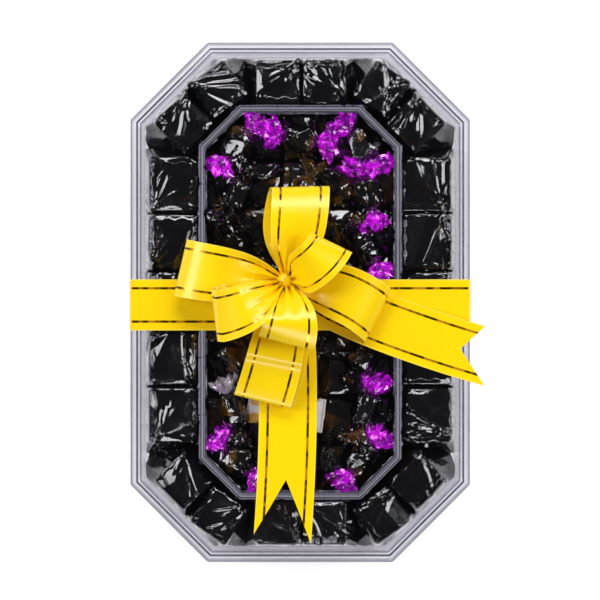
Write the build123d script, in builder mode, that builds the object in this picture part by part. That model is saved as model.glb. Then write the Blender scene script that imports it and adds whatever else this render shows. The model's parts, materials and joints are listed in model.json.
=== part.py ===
from build123d import *
import os
from math import cos, radians, sin, sqrt

os.makedirs("parts", exist_ok=True)

# A clear box with eight sides, full of wrapped chocolates and tied with a ribbon and a bow.
# Millimetres. The box lies flat: X across, Y along, Z up, origin at the centre of its underside.

# Closed box
box_width = 200.0
box_length = 306.0
box_height = 45.0
corner_cut = 45.5
plastic = 1.6

# Lid
skirt_wall = 1.5
skirt_depth = 14.0
shoulder_width = 3.7
shoulder_drop = 1.0
lid_corner_radius = 2.0
lid_edge_radius = 0.7

# Base tray
rim_play = 0.4
rim_width = 4.1
rim_lip_depth = 3.2
rim_lip_wall = 1.2
wall_lean = 2.9

# Block chocolates round the edge
block_step_down = 1.0
side_block_depth = 29.4
side_block_length = 33.2
end_block_depth = 26.6
end_block_width = 26.6
corner_block = 26.0
block_gap = 1.0
divider_gap = 0.35
side_wall_gap = 1.5
end_wall_gap = 0.65
side_run_shift = 1.5
end_run_shift = 0.5
corner_pitch = 28.9
corner_run_shift = 1.7
corner_out = 0.3

# Divider ring
divider_headroom = 5.8
divider_ridge = 3.7
divider_wall = 1.2
divider_cut = 24.0

# Sweets in the centre
sweet_length = 31.0
sweet_width = 17.0
sweet_height = 15.0
layer_gap = 0.3
lower_sweet_length = 26.9
lower_sweet_width = 21.2
lower_sweet_height = 16.0
lower_sweet_gap = 1.2
pouch_length = 46.0
pouch_width = 20.0
pouch_height = 13.0
cell_columns = 3
cell_rows = 7

# Ribbon
ribbon_width = 30.0
ribbon_thickness = 0.4
bow_width = 34.0
band_forward_distance = 1.6
hem = 1.3
knot_side_distance = 8.5
knot_back_distance = 12.5
knot_radius = 4.2
knot_height = 16.5
neck_width = 4.8
neck_gap = 0.3
loop_gap = 0.3

# Worked out from the sizes above
skirt_foot = box_height - skirt_depth
shoulder_top = box_height - shoulder_drop
rim_top = shoulder_top - plastic
rim_inset = skirt_wall + rim_play
cavity_inset = rim_inset + rim_width
floor_inset = cavity_inset + wall_lean
divider_height = rim_top - divider_headroom - plastic
block_height = divider_height - block_step_down
side_channel = divider_gap + side_block_depth + side_wall_gap
end_channel = divider_gap + end_block_depth + end_wall_gap
divider_width = box_width - 2 * (floor_inset + side_channel)
divider_length = box_length - 2 * (floor_inset + end_channel)
centre_width = divider_width - 2 * divider_ridge
centre_length = divider_length - 2 * divider_ridge
lower_top = plastic + lower_sweet_height
upper_foot = lower_top + layer_gap
band_top = box_height + ribbon_thickness
tail_top = band_top + ribbon_thickness
neck_reach = knot_radius + neck_gap


def octagon_points(width, length, cut, inset=0.0):
    """Corners of a rectangle with cut corners, each side moved inward by inset."""
    half_w = width / 2 - inset
    half_l = length / 2 - inset
    leg = cut - inset * (2 - sqrt(2))
    quarter = [(half_w, half_l - leg), (half_w - leg, half_l)]
    half = quarter + [(-x, y) for x, y in reversed(quarter)]
    return half + [(-x, -y) for x, y in half]


def box_octagon(inset, mode=Mode.ADD):
    """The box's own outline, moved inward by inset."""
    return Polygon(*octagon_points(box_width, box_length, corner_cut, inset), align=None, mode=mode)


def divider_octagon(inset, mode=Mode.ADD):
    """The divider's own outline, moved inward by inset."""
    points = octagon_points(divider_width, divider_length, divider_cut, inset)
    return Polygon(*points, align=None, mode=mode)


def finish(piece, name):
    """Names a finished piece and writes it."""
    piece.part.label = name
    export_step(piece.part, f"parts/{name}.step")


# Base tray: a flat floor, walls that lean outward, and a turned-out rim with a small lip.
def make_base_tray():
    with BuildPart() as base_tray:
        for height, inset in ((0, floor_inset - plastic), (rim_top, cavity_inset - plastic)):
            with BuildSketch(Plane.XY.offset(height)):
                box_octagon(inset)
        loft(ruled=True)
        with BuildSketch(Plane.XY.offset(rim_top - plastic)):
            box_octagon(rim_inset)
        extrude(amount=plastic)
        with BuildSketch(Plane.XY.offset(rim_top - rim_lip_depth)):
            box_octagon(rim_inset)
            box_octagon(rim_inset + rim_lip_wall, Mode.SUBTRACT)
        extrude(amount=rim_lip_depth)
        for height, inset in ((plastic, floor_inset), (rim_top, cavity_inset)):
            with BuildSketch(Plane.XY.offset(height)):
                box_octagon(inset)
        loft(ruled=True, mode=Mode.SUBTRACT)
    finish(base_tray, "base_tray")


# Lid: a raised panel inside a lower shoulder, and a skirt that goes over the rim.
def make_lid():
    with BuildPart() as lid:
        with BuildSketch(Plane.XY.offset(skirt_foot)):
            box_octagon(0)
        extrude(amount=shoulder_top - skirt_foot)
        fillet(lid.edges().filter_by(Axis.Z), lid_corner_radius)
        fillet(lid.faces().sort_by(Axis.Z)[-1].edges(), lid_edge_radius)
        with BuildSketch(Plane.XY.offset(shoulder_top - plastic)):
            box_octagon(shoulder_width)
        extrude(amount=shoulder_drop + plastic)
        fillet(lid.faces().sort_by(Axis.Z)[-1].edges(), lid_edge_radius)
        with BuildSketch(Plane.XY.offset(skirt_foot)):
            box_octagon(skirt_wall)
        extrude(amount=rim_top - skirt_foot, mode=Mode.SUBTRACT)
        with BuildSketch(Plane.XY.offset(rim_top)):
            box_octagon(shoulder_width + plastic)
        extrude(amount=shoulder_drop, mode=Mode.SUBTRACT)
    finish(lid, "lid")


# Divider ring: a hollow ridge, open underneath, that stands on the floor of the base tray.
def make_divider_ring():
    with BuildPart() as divider_ring:
        with BuildSketch(Plane.XY.offset(plastic)):
            divider_octagon(0)
            divider_octagon(divider_ridge, Mode.SUBTRACT)
        extrude(amount=divider_height)
        with BuildSketch(Plane.XY.offset(plastic)):
            divider_octagon(divider_wall)
            divider_octagon(divider_ridge - divider_wall, Mode.SUBTRACT)
        extrude(amount=divider_height - divider_wall, mode=Mode.SUBTRACT)
    finish(divider_ring, "divider_ring")


# A block chocolate folded in film: a soft foot, straight sides and a crowned top.
# Each row is a height, a size across and a cut corner, as shares of the block.
BLOCK_SHARES = (
    (0.00, 0.92, 0.10),
    (0.07, 1.00, 0.09),
    (0.84, 1.00, 0.09),
    (0.95, 0.91, 0.12),
    (1.00, 0.72, 0.14),
)


def cut_rectangle(width, depth, cut):
    """A rectangle with small cut corners, in the sketch that is open."""
    Polygon(*octagon_points(width, depth, cut), align=None)


def block_form(width, depth):
    """One block, standing on the tray's floor at the middle of the box."""
    with BuildPart() as form:
        for height_share, size_share, cut_share in BLOCK_SHARES:
            with BuildSketch(Plane.XY.offset(plastic + block_height * height_share)):
                cut_rectangle(width * size_share, depth * size_share, min(width, depth) * cut_share)
        loft(ruled=True)
    return form.part


def place_copy(name, form, x, y, turn):
    """A copy of a form, turned and set at its place, as a piece of its own."""
    with BuildPart() as piece:
        with Locations(Location((x, y, 0), (0, 0, turn))):
            add(form)
    finish(piece, name)


def make_ring_blocks():
    """Blocks along both sides, across both ends and two in each corner."""
    corner_reach = corner_block / sqrt(2)
    wall_corner = octagon_points(box_width, box_length, corner_cut, floor_inset)[:2]
    divider_corner = octagon_points(divider_width, divider_length, divider_cut)[:2]
    corners = wall_corner + divider_corner
    middle_x = sum(point[0] for point in corners) / len(corners)
    middle_y = sum(point[1] for point in corners) / len(corners)
    step = corner_pitch / 2 / sqrt(2)
    shift = corner_run_shift / sqrt(2)
    out = corner_out / sqrt(2)
    near = (middle_x + step - shift + out, middle_y - step + shift + out)
    far = (middle_x - step - shift + out, middle_y + step + shift + out)

    side_pitch = side_block_length + block_gap
    side_count = int(2 * (near[1] - corner_reach) // side_pitch)
    side_x = divider_width / 2 + divider_gap + side_block_depth / 2
    side_block = block_form(side_block_depth, side_block_length)
    for side, sign in (("left", -1), ("right", 1)):
        for i in range(side_count):
            y = (i - (side_count - 1) / 2) * side_pitch + side_run_shift
            place_copy(f"block_{side}_{i + 1}", side_block, sign * side_x, y, 0)

    end_pitch = end_block_width + block_gap
    end_count = int(2 * (far[0] - corner_reach) // end_pitch)
    end_y = divider_length / 2 + divider_gap + end_block_depth / 2
    end_block = block_form(end_block_width, end_block_depth)
    for end, sign in (("bottom", -1), ("top", 1)):
        for i in range(end_count):
            x = (i - (end_count - 1) / 2) * end_pitch + end_run_shift
            place_copy(f"block_{end}_{i + 1}", end_block, x, sign * end_y, 0)

    square_block = block_form(corner_block, corner_block)
    for side, sign_x in (("left", -1), ("right", 1)):
        for end, sign_y in (("bottom", -1), ("top", 1)):
            for place, (x, y), turn in (("a", near, 44.7), ("b", far, 54.4)):
                name = f"block_corner_{end}_{side}_{place}"
                place_copy(name, square_block, sign_x * x, sign_y * y, sign_x * sign_y * turn)


# A twist-wrapped sweet: a fan, a tight neck, a full body, a neck and a fan.
# Each row is a place along the sweet, a width and a height, as shares of the sweet.
SWEET_SHARES = (
    (-1.00, 0.66, 0.60),
    (-0.70, 0.24, 0.26),
    (-0.56, 0.66, 0.66),
    (-0.30, 0.96, 0.95),
    (0.00, 1.00, 1.00),
    (0.30, 0.96, 0.95),
    (0.56, 0.66, 0.66),
    (0.70, 0.24, 0.26),
    (1.00, 0.66, 0.60),
)
# A pouch with crimped ends, in the same rows.
POUCH_SHARES = (
    (-1.00, 1.00, 0.10),
    (-0.86, 1.00, 0.10),
    (-0.55, 0.94, 0.92),
    (0.00, 0.92, 1.00),
    (0.55, 0.94, 0.92),
    (0.86, 1.00, 0.10),
    (1.00, 1.00, 0.10),
)
section_cut_share = 0.28


def wrapped_form(length, width, height, rows):
    """Sections square to the X axis, lofted from end to end, on top of the lower layer."""
    with BuildPart() as form:
        for place_share, width_share, height_share in rows:
            place = (length / 2 * place_share, 0, upper_foot + height / 2)
            with BuildSketch(Plane(origin=place, x_dir=(0, 1, 0), z_dir=(1, 0, 0))):
                w = width * width_share
                h = height * height_share
                cut_rectangle(w, h, min(w, h) * section_cut_share)
        loft(ruled=True)
    return form.part


# How each upper sweet lies: degrees from the X axis, row by row from the front of the box.
SWEET_TURNS = (
    (-42, 8, 50),
    (106, 0, 70),
    (118, 22, 56),
    (144, 84, 152),
    (66, 128, 116),
    (62, 58, 107),
    (51, -10, -46),
)
pouch_cell = (1, 1)
cellophane_cell = (1, 0)
column_spread_share = 1.06
corner_pull_share = 0.07
pouch_shift_share = -0.10
pouch_turn = -8


def make_upper_sweets():
    """One sweet in each cell of the centre, one of them in cellophane, and a pouch in another."""
    cell_w = centre_width / cell_columns
    cell_l = centre_length / cell_rows
    sweet = wrapped_form(sweet_length, sweet_width, sweet_height, SWEET_SHARES)
    pouch = wrapped_form(pouch_length, pouch_width, pouch_height, POUCH_SHARES)
    count = 0
    for row, turns in enumerate(SWEET_TURNS):
        for column, turn in enumerate(turns):
            x = (column - (cell_columns - 1) / 2) * cell_w * column_spread_share
            y = (row - (cell_rows - 1) / 2) * cell_l
            at_end = row in (0, cell_rows - 1) and column != 1
            if at_end:
                x = x * (1 - corner_pull_share)
                y = y * (1 - corner_pull_share / 2)
            if (row, column) == pouch_cell:
                x = x + pouch_shift_share * cell_w
                place_copy("pouch", pouch, x, y, pouch_turn)
                continue
            count = count + 1
            name = "cellophane_sweet" if (row, column) == cellophane_cell else f"sweet_{count:02d}"
            place_copy(name, sweet, x, y, turn)


# The lower layer: sweets packed in rows on the floor, clear of the cut corners.
LOWER_SHARES = ((0.00, 0.86), (0.12, 1.00), (0.85, 1.00), (1.00, 0.90))
lower_cut_share = 0.16


def make_lower_sweets():
    pitch_x = lower_sweet_width + lower_sweet_gap
    pitch_y = lower_sweet_length + lower_sweet_gap
    columns = int(centre_width // pitch_x)
    rows = int(centre_length // pitch_y)
    corner_line = centre_width / 2 + centre_length / 2 - divider_cut + divider_ridge * (2 - sqrt(2))
    cut = lower_sweet_width * lower_cut_share
    places = []
    for column in range(columns):
        for row in range(rows):
            x = (column - (columns - 1) / 2) * pitch_x
            y = (row - (rows - 1) / 2) * pitch_y
            if abs(x) + abs(y) + (lower_sweet_width + lower_sweet_length) / 2 - cut < corner_line:
                places.append((x, y))
    with BuildPart() as form:
        for height_share, size_share in LOWER_SHARES:
            with BuildSketch(Plane.XY.offset(plastic + lower_sweet_height * height_share)):
                cut_rectangle(lower_sweet_width * size_share, lower_sweet_length * size_share, cut)
        loft(ruled=True)
    with BuildPart() as lower_sweets:
        with Locations(*places):
            add(form.part)
    finish(lower_sweets, "lower_sweets")


# Ribbon band: across the lid, down both sides of its skirt and tucked under the skirt's foot.
def make_ribbon_band():
    side = Plane.XZ.offset(band_forward_distance + ribbon_width / 2)
    middle = (skirt_foot + box_height) / 2
    with BuildPart() as ribbon_band:
        with BuildSketch(side):
            with Locations((0, middle)):
                Rectangle(box_width + 2 * ribbon_thickness, skirt_depth + 2 * ribbon_thickness)
                Rectangle(box_width, skirt_depth, mode=Mode.SUBTRACT)
            with Locations((0, skirt_foot - ribbon_thickness / 2)):
                Rectangle(box_width - 2 * hem, 2 * ribbon_thickness, mode=Mode.SUBTRACT)
        extrude(amount=-ribbon_width)
    finish(ribbon_band, "ribbon_band")


# Knot: the gathered middle of the bow, with a rounded head. Each row is a radius and a height, as shares.
KNOT_SHARES = ((0.80, 0.00), (1.00, 0.15), (1.00, 0.80), (0.84, 0.92), (0.50, 1.00))


def knot_plane(heading, upright):
    """A plane at the knot whose X runs along the heading; upright ones have Y straight up."""
    along = (cos(radians(heading)), sin(radians(heading)), 0)
    normal = (along[1], -along[0], 0) if upright else (0, 0, 1)
    return Plane(origin=(-knot_side_distance, knot_back_distance, 0), x_dir=along, z_dir=normal)


def make_knot():
    with BuildPart() as knot:
        with BuildSketch(knot_plane(0, True)):
            side = [(radius * knot_radius, band_top + height * knot_height) for radius, height in KNOT_SHARES]
            Polygon((0, band_top), *side, (0, band_top + knot_height), align=None)
        revolve(axis=Axis((-knot_side_distance, knot_back_distance, 0), (0, 0, 1)))
    finish(knot, "knot")


# The bow's loops. Each row is a heading in degrees, a reach as a share of loop_reach,
# the foot and the head of its neck and the rise of its far end as shares of loop_rise,
# and the half angle over which it spreads from the neck.
loop_reach = 60.0
loop_rise = 16.0
loop_curl = 8.0
LOOP_SHARES = {
    "loop_top": (80, 0.94, 0.00, 0.28, 0.00, 38),
    "loop_right": (-20, 0.96, 0.00, 0.28, 0.00, 36),
    "loop_left": (172, 1.03, 0.00, 0.28, 0.00, 38),
    "loop_bottom": (-101, 1.20, 0.00, 0.28, 0.00, 30),
    "loop_upper_right": (52, 0.60, 0.50, 0.74, 0.75, 36),
    "loop_lower_left": (206, 0.76, 0.50, 0.74, 0.75, 22),
    "loop_front": (-92, 0.58, 0.50, 0.74, 0.75, 22),
}


def spread_points(reach, half_angle, half_width):
    """Outline from above: a narrow neck that spreads to the full width of the bow's ribbon."""
    full = neck_reach + (half_width - neck_width / 2) / sin(radians(half_angle)) * cos(radians(half_angle))
    upper = [(neck_reach, neck_width / 2), (full, half_width), (reach, half_width)]
    return upper, [(x, -y) for x, y in reversed(upper)]


def make_loop(name, heading, reach_share, foot_share, head_share, rise_share, half_angle):
    reach = loop_reach * reach_share
    base = tail_top + loop_gap + ribbon_thickness / 2
    foot = (neck_reach, base + loop_rise * foot_share)
    head = (neck_reach, base + loop_rise * head_share)
    far_low = (reach - loop_curl, base + loop_rise * (foot_share + rise_share))
    far_out = (reach, far_low[1] + loop_curl)
    far_high = (reach - loop_curl, far_low[1] + 2 * loop_curl)
    over, under = spread_points(reach + ribbon_thickness, half_angle, bow_width / 2)
    with BuildPart() as loop:
        with BuildSketch(knot_plane(heading, True)):
            with BuildLine():
                Line(foot, far_low)
                ThreePointArc(far_low, far_out, far_high)
                Line(far_high, head)
            trace(line_width=ribbon_thickness)
        extrude(amount=bow_width / 2, both=True)
        with BuildSketch(knot_plane(heading, False)):
            Polygon(*over, *under, align=None)
        extrude(amount=2 * box_height + 2 * loop_reach, mode=Mode.INTERSECT)
    finish(loop, name)


# The tails. Each row is a heading, the reach of the two tips and of the notch between them,
# all as shares of tail_reach, and the half angle over which the tail spreads.
tail_reach = 150.0
TAIL_SHARES = {
    "tail_front": (-91.2, 1.00, 1.02, 0.78, 30),
    "tail_right": (-20.5, 0.80, 0.87, 0.735, 30),
}


def make_tail(name, heading, left_share, right_share, notch_share, half_angle):
    half_width = bow_width / 2
    over, under = spread_points(0.0, half_angle, half_width)
    left = (tail_reach * left_share, half_width)
    right = (tail_reach * right_share, -half_width)
    notch = (tail_reach * notch_share, 0)
    with BuildPart() as tail:
        with BuildSketch(knot_plane(heading, False).offset(band_top)):
            Polygon(*over[:2], left, notch, right, *under[1:], align=None)
        extrude(amount=ribbon_thickness)
    finish(tail, name)


make_base_tray()
make_divider_ring()
make_ring_blocks()
make_lower_sweets()
make_upper_sweets()
make_lid()
make_ribbon_band()
make_knot()
for loop_name, loop_row in LOOP_SHARES.items():
    make_loop(loop_name, *loop_row)
for tail_name, tail_row in TAIL_SHARES.items():
    make_tail(tail_name, *tail_row)
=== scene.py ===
import json
from math import cos, pi, radians, sin, tan
from typing import NamedTuple

import bpy
import numpy as np
from bpy.props import FloatProperty, FloatVectorProperty, PointerProperty
from mathutils import Matrix, Vector

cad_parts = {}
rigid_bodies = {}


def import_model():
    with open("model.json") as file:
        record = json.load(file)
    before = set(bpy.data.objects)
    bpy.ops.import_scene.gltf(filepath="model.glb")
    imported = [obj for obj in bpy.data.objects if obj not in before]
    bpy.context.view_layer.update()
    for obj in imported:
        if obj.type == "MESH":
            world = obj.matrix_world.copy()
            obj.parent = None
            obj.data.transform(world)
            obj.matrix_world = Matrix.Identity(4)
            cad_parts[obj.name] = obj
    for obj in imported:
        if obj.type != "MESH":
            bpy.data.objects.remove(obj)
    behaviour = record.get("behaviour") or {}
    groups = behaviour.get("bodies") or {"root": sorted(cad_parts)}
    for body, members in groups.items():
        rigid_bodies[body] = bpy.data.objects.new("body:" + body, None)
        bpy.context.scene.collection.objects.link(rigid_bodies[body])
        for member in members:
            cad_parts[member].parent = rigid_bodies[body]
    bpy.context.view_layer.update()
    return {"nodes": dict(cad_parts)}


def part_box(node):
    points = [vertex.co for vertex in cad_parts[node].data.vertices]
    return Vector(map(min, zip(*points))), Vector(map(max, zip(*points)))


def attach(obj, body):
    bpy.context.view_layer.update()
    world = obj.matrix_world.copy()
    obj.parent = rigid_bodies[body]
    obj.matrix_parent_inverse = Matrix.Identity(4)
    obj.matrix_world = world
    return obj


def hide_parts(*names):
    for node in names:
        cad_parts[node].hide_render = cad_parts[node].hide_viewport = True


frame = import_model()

bl_info = {
    "name": "Chocolate Box",
    "version": (1, 0, 0),
    "blender": (4, 5, 0),
    "location": "View3D > Sidebar > Chocolate Box",
    "description": "Dresses a clear box of wrapped chocolates tied with a satin ribbon and a bow",
    "category": "Object",
}


def tone(red, green, blue):
    """A colour as a screen shows it, 0 to 255, turned into the linear values that shaders use."""
    def linear(value):
        share = value / 255
        return share / 12.92 if share <= 0.04045 else ((share + 0.055) / 1.055) ** 2.4
    return (linear(red), linear(green), linear(blue), 1.0)


def colour_property(name, description, value):
    """A colour that the panel shows."""
    return FloatVectorProperty(name=name, description=description, default=value, subtype="COLOR", size=4,
                               min=0.0, max=1.0)


def number_property(name, description, value):
    """A plain number that the panel shows."""
    return FloatProperty(name=name, description=description, default=value)


def length_property(name, description, value):
    """A length in metres that the panel shows."""
    return FloatProperty(name=name, description=description, default=value, unit="LENGTH", precision=4)


# What a user would change
class PlasticLooks(bpy.types.PropertyGroup):
    """Clear plastic of the tray, the lid and the divider."""
    face: colour_property("Face", "What one face lets through, seen square on", (0.995, 0.993, 0.998, 1.0))
    wall: colour_property("Wall", "What one face lets through, seen at a slant", (0.76, 0.745, 0.79, 1.0))
    edge: colour_property("Edge", "What one face lets through, seen edge on", (0.24, 0.24, 0.30, 1.0))
    shine: number_property("Roughness", "Roughness of the plastic", 0.04)
    square_on: number_property("Square On", "Share of its full mirror that it has seen square on", 0.04)
    mirror: number_property("Mirror", "How strongly it mirrors light, seen edge on", 0.5)


class FilmLooks(bpy.types.PropertyGroup):
    """Film, foil and cellophane round the chocolates."""
    black: colour_property("Black Film", "Colour of the black film", tone(5, 5, 6))
    # Partly dusty haze on the film, partly painted sheen that stands in for soft reflections of broad light
    # on it.
    haze_and_sheen: colour_property("Film Haze", "Colour of the dusty sheen on the film", tone(20, 21, 24))
    amber: colour_property("Amber Print", "Colour of the brown zones of the twist wraps", tone(92, 61, 13))
    foil: colour_property("Foil", "Colour of the twisted foil ends", tone(248, 14, 255))
    paper: colour_property("Packet", "Colour of the pale packet", tone(226, 222, 220))
    motif: colour_property("Motif", "Colour of the blobs on the pale packet", tone(222, 168, 84))
    crease_height: length_property("Crease Height", "How far the sharpest creases stand up", 0.00060)


class RibbonLooks(bpy.types.PropertyGroup):
    """The satin ribbon of the band, the bow and the tails."""
    width: length_property("Width", "Width of the band", 0.030)
    bow_width: length_property("Bow Width", "Width of the ribbon of the bow and its tails", 0.034)
    thickness: length_property("Thickness", "Thickness of the ribbon", 0.0004)
    stripe_inset: length_property("Stripe Inset", "From the ribbon's edge to a stripe's middle", 0.0052)
    stripe_width: length_property("Stripe Width", "Width of each metallic stripe", 0.0015)
    yellow: colour_property("Satin", "Colour of the satin", tone(255, 220, 0))
    # Also the colour of the painted glints along the stripes.
    gold: colour_property("Stripe", "Colour of the metallic stripes", tone(235, 165, 35))


class StageLooks(bpy.types.PropertyGroup):
    """Floor, lamps and camera."""
    floor: colour_property("Floor", "Colour of the floor", (0.80, 0.80, 0.80, 1.0))
    lift: number_property("Floor Lift", "Light that the floor adds where it is seen", 0.50)
    dusk: number_property("World", "Strength of the dim light all round", 0.045)
    picture_width: length_property("Picture Width", "Width that the camera shows at the ribbon", 0.3529)
    camera_height: length_property("Camera Height", "Height of the camera over the ribbon", 2.5)


# Arithmetic on sockets
def operation(kind, reflected=False):
    """A method of Number that adds a Math node. A reflected one takes its two values the other way round."""
    def method(self, *others):
        values = (self, *others)
        return self.math(kind, *(values[::-1] if reflected else values))
    return method


class Number:
    """A socket of a material. Arithmetic on it adds the Math nodes that work it out."""

    def __init__(self, finish, socket):
        self.finish = finish
        self.socket = socket

    def math(self, kind, *values):
        inputs = dict(enumerate(values))
        return self.finish.node("ShaderNodeMath", {"operation": kind}, inputs)

    __add__ = operation("ADD")
    __radd__ = operation("ADD", reflected=True)
    __sub__ = operation("SUBTRACT")
    __rsub__ = operation("SUBTRACT", reflected=True)
    __mul__ = operation("MULTIPLY")
    __rmul__ = operation("MULTIPLY", reflected=True)
    __pow__ = operation("POWER")
    __abs__ = operation("ABSOLUTE")

    def between(self, low, high):
        """Rises smoothly from 0 at low to 1 at high."""
        return self.finish.node("ShaderNodeMapRange", {"interpolation_type": "SMOOTHSTEP"},
                                {"Value": self, "From Min": low, "From Max": high})


class Finish:
    """A new material, or a tree of nodes that is there already, and the one method that adds nodes to it."""

    def __init__(self, name="", tree=None):
        if tree:
            self.tree = tree
            return
        self.material = bpy.data.materials.new(name)
        self.material.use_nodes = True
        self.tree = self.material.node_tree
        self.shader = self.tree.nodes["Principled BSDF"]
        self.surface = self.tree.nodes["Material Output"].inputs["Surface"]

    def node(self, kind, settings=None, inputs=None, output=0):
        """Adds a node of a kind: its settings first, then values or links into its sockets."""
        made = self.tree.nodes.new(kind)
        for name, value in (settings or {}).items():
            setattr(made, name, value)
        self.feed(made, inputs or {})
        return Number(self, made.outputs[output])

    def feed(self, node, inputs):
        for name, value in inputs.items():
            if isinstance(value, Number):
                self.tree.links.new(value.socket, node.inputs[name])
            else:
                node.inputs[name].default_value = value

    def principled(self, **inputs):
        """Sets sockets of the main shader, named with _ for a space."""
        self.feed(self.shader, {name.replace("_", " "): value for name, value in inputs.items()})

    def coordinates(self):
        return self.node("ShaderNodeTexCoord", output="Object")

    def ray(self, kind):
        """1 on rays of a kind, 0 on others."""
        return self.node("ShaderNodeLightPath", output=kind)

    def stretched(self, vector, scale):
        return self.node("ShaderNodeMapping", None, {"Vector": vector, "Scale": scale})

    def noise(self, vector, scale, detail=2.0, roughness=0.5, distortion=0.0):
        return self.node("ShaderNodeTexNoise", None, {"Vector": vector, "Scale": scale, "Detail": detail,
                                                      "Roughness": roughness, "Distortion": distortion})

    def cells(self, vector, scale):
        """Distance from the middle of the nearest cell."""
        return self.node("ShaderNodeTexVoronoi", None, {"Vector": vector, "Scale": scale})

    def mix(self, share, first, second):
        """A mix of two colours."""
        return self.node("ShaderNodeMix", {"data_type": "RGBA"}, {0: share, 6: first, 7: second}, 2)

    def bump(self, height, strength, distance):
        inputs = {"Height": height, "Strength": strength, "Distance": distance}
        return self.node("ShaderNodeBump", None, inputs)

    def mix_shader(self, share, first, second):
        """A mix of two shaders."""
        return self.node("ShaderNodeMixShader", None, {0: share, 1: first, 2: second})


# Materials
def clear_plastic(looks, name, sides, lines, tint):
    """Clear where it is seen square on, a little darker near its edge, with a mirror that grows with the
    slant. Along its moulded edges it has painted dark lines, a painted shade for the darkening that their
    refraction gives, each given as a distance in from the outline, a width, a strength and whether it is on
    upright walls too."""
    finish = Finish(name)
    finish.principled(Base_Color=(0.96, 0.96, 1.0, 1.0), Metallic=1.0, Roughness=looks.shine)
    slant = finish.node("ShaderNodeLayerWeight", None, {"Blend": 0.5}, output=1)
    face = tuple(value * share for value, share in zip(looks.face, tint))
    clear, wall, edge = [finish.node("ShaderNodeBsdfTransparent", None, {"Color": colour})
                         for colour in (face, tuple(looks.wall), tuple(looks.edge))]
    spot = finish.coordinates()
    inward = None
    for way, distance in sides:
        ahead = finish.node("ShaderNodeVectorMath", {"operation": "DOT_PRODUCT"},
                            {0: spot, 1: (way[0], way[1], 0.0)}, output=1)
        gap = distance - ahead
        inward = gap if inward is None else inward.math("MINIMUM", inward, gap)
    dark = slant.between(0.975, 0.998)
    level = 1.0 - slant.between(0.30, 0.60)
    # Painted shade: dark bands at set distances in from the outline, standing in for the darkening that the
    # edges' refraction gives.
    for distance, width, strength, on_walls in lines:
        line = (1.0 - abs(inward - distance).between(width * 0.25, width * 0.60)) * strength
        dark = dark.math("MAXIMUM", dark, line if on_walls else line * level)
    through = finish.mix_shader(dark, finish.mix_shader(slant.between(0.78, 0.85), clear, wall), edge)
    mirror = (slant ** 5.0 * (1.0 - looks.square_on) + looks.square_on) * looks.mirror
    whole = finish.mix_shader(mirror, through, Number(finish, finish.shader.outputs[0]))
    finish.tree.links.new(whole.socket, finish.surface)
    return finish.material


# Painted dark lines along the moulded edges of each clear piece, a painted shade for the darkening that
# their refraction gives: in from its outline, width, strength and whether on upright walls too. Then what its
# faces let through, as shares.
MOULDED_EDGES = {
    "lid": (((0.00045, 0.0010, 0.75, False), (0.0040, 0.0013, 1.0, False), (0.0022, 0.0036, 0.20, False),
             (0.0062, 0.0012, 0.22, False)), (0.985, 0.985, 0.99, 1.0)),
    "base_tray": (((0.0040, 0.0008, 0.6, False), (0.0060, 0.0008, 0.3, True)), (1.0, 1.0, 1.0, 1.0)),
    "divider_ring": (((0.0001, 0.0005, 0.6, True), (0.0011, 0.0008, 0.85, False),
                      (0.0029, 0.0008, 0.9, False), (0.0037, 0.0006, 0.95, True)), (0.84, 0.83, 0.88, 1.0)),
}


def wrinkled_gloss(finish, colour, roughness, gloss, wrinkles):
    """Gives a film its colour and its shine: a clear coat over fine wrinkles."""
    finish.principled(Base_Color=colour, Roughness=roughness, Specular_IOR_Level=gloss, Coat_Weight=0.80,
                      Coat_Roughness=0.05, Coat_IOR=1.6,
                      Normal=finish.bump(abs(wrinkles - 0.5) * 2.0, 0.05, 0.0004))
    return finish.material


def black_film(looks):
    finish = Finish("black_film")
    place = finish.coordinates()
    # Lighter grey patches: partly dusty haze, partly painted sheen for the soft reflections of broad light on
    # the film.
    haze_and_sheen = finish.noise(place, 60.0, 3.0, 0.6).between(0.48, 0.80)
    colour = finish.mix(haze_and_sheen, tuple(looks.black), tuple(looks.haze_and_sheen))
    wrinkles = finish.noise(finish.stretched(place, (1.0, 0.45, 0.7)), 300.0, 3.0, 0.55, 0.8)
    return wrinkled_gloss(finish, colour, haze_and_sheen * 0.12 + 0.12, 0.75, wrinkles)


def twist_wrap(looks):
    """Black film with brown zones that follow the folds, in flat patches with crisp borders."""
    finish = Finish("twist_wrap")
    place = finish.coordinates()
    print_zone = finish.noise(place, 52.0, 1.5, 0.45, 0.5).between(0.55, 0.61)
    shade = finish.noise(place, 150.0, 2.0).between(0.3, 0.7)
    amber = finish.mix(shade, tone(44, 28, 6), tuple(looks.amber))
    colour = finish.mix(print_zone, tuple(looks.black), amber)
    wrinkles = finish.noise(place, 330.0, 3.0, 0.55, 0.8)
    return wrinkled_gloss(finish, colour, 0.13, 0.80, wrinkles)


def foil(looks):
    finish = Finish("purple_foil")
    place = finish.coordinates()
    # Painted shade: random patches turn the foil dark purple, standing in for its unlit hollows, and make it
    # a little rougher there.
    depth = finish.noise(place, 170.0, 2.0, 0.5).between(0.38, 0.60)
    colour = finish.mix(depth, tone(60, 0, 75), tuple(looks.foil))
    # Painted glow and sparkle: the whole foil glows dim purple though it is no lamp, and small spots glow
    # near white as painted highlights.
    spark = finish.noise(place, 330.0, 1.0).between(0.60, 0.72)
    glow = finish.mix(spark, tone(98, 0, 116), tone(255, 150, 255))
    finish.principled(Base_Color=colour, Roughness=depth * 0.10 + 0.22, Metallic=0.50, Specular_IOR_Level=1.0,
                      Coat_Weight=1.0, Coat_Roughness=0.05, Coat_IOR=1.7, Emission_Color=glow,
                      Emission_Strength=0.9)
    return finish.material


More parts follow.
